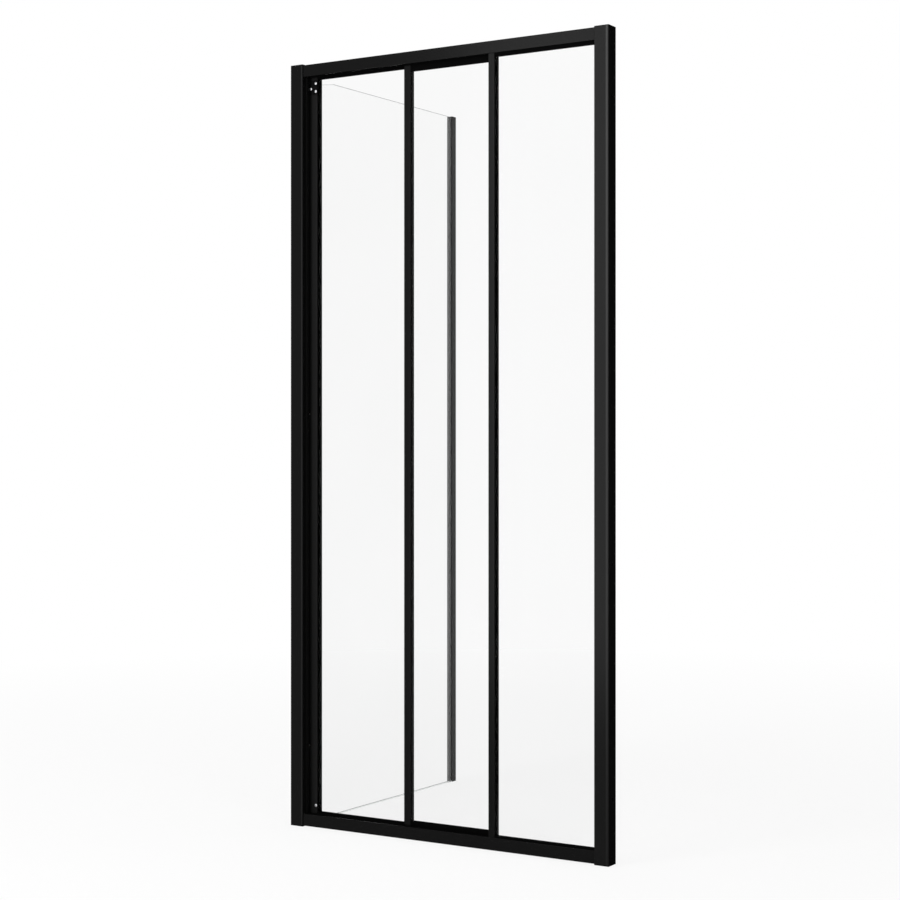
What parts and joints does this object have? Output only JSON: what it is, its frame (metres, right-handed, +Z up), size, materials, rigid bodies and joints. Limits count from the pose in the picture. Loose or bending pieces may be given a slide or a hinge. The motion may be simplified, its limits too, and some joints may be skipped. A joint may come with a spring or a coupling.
{
  "type": "sliding shower door with side panel",
  "caption": "Black framed shower enclosure: fixed pane, two sliding leaves that stack behind it, and a clear side panel returning from the corner post to a wall channel.",
  "frame": {"origin": "centre of the footprint, on the floor", "axes": "+X along the door from corner post to wall post, +Y into the shower, +Z up"},
  "size_m": [0.89, 0.75, 1.9],
  "materials": {
    "frame_black": "satin black powder coat on aluminium extrusion",
    "rail_black": "matt black anodised aluminium",
    "fitting_black": "moulded black plastic",
    "plate_black": "satin black paint",
    "door_glass": "clear toughened safety glass",
    "side_glass": "clear toughened safety glass",
    "seal_black": "soft black seal",
    "brush_black": "dense black brush pile",
    "seal_clear": "clear soft strip",
    "hanger_steel": "stainless steel",
    "screw_steel": "stainless steel",
    "screw_bright": "bright plated steel",
    "roller_white": "white acetal"
  },
  "bodies": {
    "frame": {"adjusting_screws": "screw_steel", "corner_post": "frame_black", "corner_post_cap": "fitting_black", "door_bumpers": "seal_black", "fixed_bottom_bead": "rail_black", "fixed_gaskets": "seal_black", "fixed_glass": "door_glass", "fixed_stile": "frame_black", "fixed_top_bead": "rail_black", "frame_screws": "screw_steel", "head_rail": "frame_black", "rail_end_blocks": "fitting_black", "side_corner_gaskets": "seal_black", "side_floor_seal": "seal_clear", "side_glass": "side_glass", "side_wall_cap": "fitting_black", "side_wall_gaskets": "seal_black", "side_wall_profile": "frame_black", "sill_rail": "frame_black", "strike_magnet": "seal_black", "strike_profile": "frame_black", "strike_screws": "screw_steel", "wall_channel": "frame_black", "wall_post": "frame_black", "wall_post_cap": "fitting_black"},
    "lead_leaf": {"closing_seal": "seal_black", "closing_stile": "frame_black", "corner_plate": "plate_black", "corner_plate_screws": "screw_bright", "lead_axles": "hanger_steel", "lead_bottom_rail": "rail_black", "lead_gaskets": "seal_black", "lead_glass": "door_glass", "lead_glides": "fitting_black", "lead_hanger_screws": "screw_steel", "lead_hangers": "hanger_steel", "lead_pick_up": "fitting_black", "lead_top_rail": "rail_black", "trailing_brush": "brush_black", "trailing_stile": "frame_black"},
    "follow_leaf": {"follow_axles": "hanger_steel", "follow_bottom_rail": "rail_black", "follow_brush": "brush_black", "follow_catches": "fitting_black", "follow_gaskets": "seal_black", "follow_glass": "door_glass", "follow_glides": "fitting_black", "follow_hanger_screws": "screw_steel", "follow_hangers": "hanger_steel", "follow_left_stile": "frame_black", "follow_right_stile": "frame_black", "follow_top_rail": "rail_black"},
    "lead_roller_closing": {"lead_roller_closing": "roller_white"},
    "lead_roller_trailing": {"lead_roller_trailing": "roller_white"},
    "follow_roller_left": {"follow_roller_left": "roller_white"},
    "follow_roller_right": {"follow_roller_right": "roller_white"}
  },
  "joints": [
    {"name": "lead_slide", "type": "slide", "parent": "frame", "child": "lead_leaf", "axis": [1, 0, 0], "range_m": [0, 0.4864]},
    {"name": "follow_slide", "type": "slide", "parent": "frame", "child": "follow_leaf", "axis": [1, 0, 0], "range_m": [0, 0.2432]},
    {"name": "lead_roller_closing_spin", "type": "hinge", "parent": "lead_leaf", "child": "lead_roller_closing", "pos_m": [-0.3593, -0.3421, 1.8873], "axis": [0, 1, 0], "range_deg": [0, 3990]},
    {"name": "lead_roller_trailing_spin", "type": "hinge", "parent": "lead_leaf", "child": "lead_roller_trailing", "pos_m": [-0.1437, -0.3421, 1.8873], "axis": [0, 1, 0], "range_deg": [0, 3990]},
    {"name": "follow_roller_left_spin", "type": "hinge", "parent": "follow_leaf", "child": "follow_roller_left", "pos_m": [-0.0709, -0.3527, 1.8873], "axis": [0, 1, 0], "range_deg": [0, 2000]},
    {"name": "follow_roller_right_spin", "type": "hinge", "parent": "follow_leaf", "child": "follow_roller_right", "pos_m": [0.1003, -0.3527, 1.8873], "axis": [0, 1, 0], "range_deg": [0, 2000]}
  ],
  "couplings": [
    {"joint": "follow_slide", "follows": "lead_slide", "ratio": 0.5},
    {"joint": "lead_roller_closing_spin", "follows": "lead_slide", "rad_per_m": 142.86},
    {"joint": "lead_roller_trailing_spin", "follows": "lead_slide", "rad_per_m": 142.86},
    {"joint": "follow_roller_left_spin", "follows": "lead_slide", "rad_per_m": 71.429},
    {"joint": "follow_roller_right_spin", "follows": "lead_slide", "rad_per_m": 71.429}
  ]
}
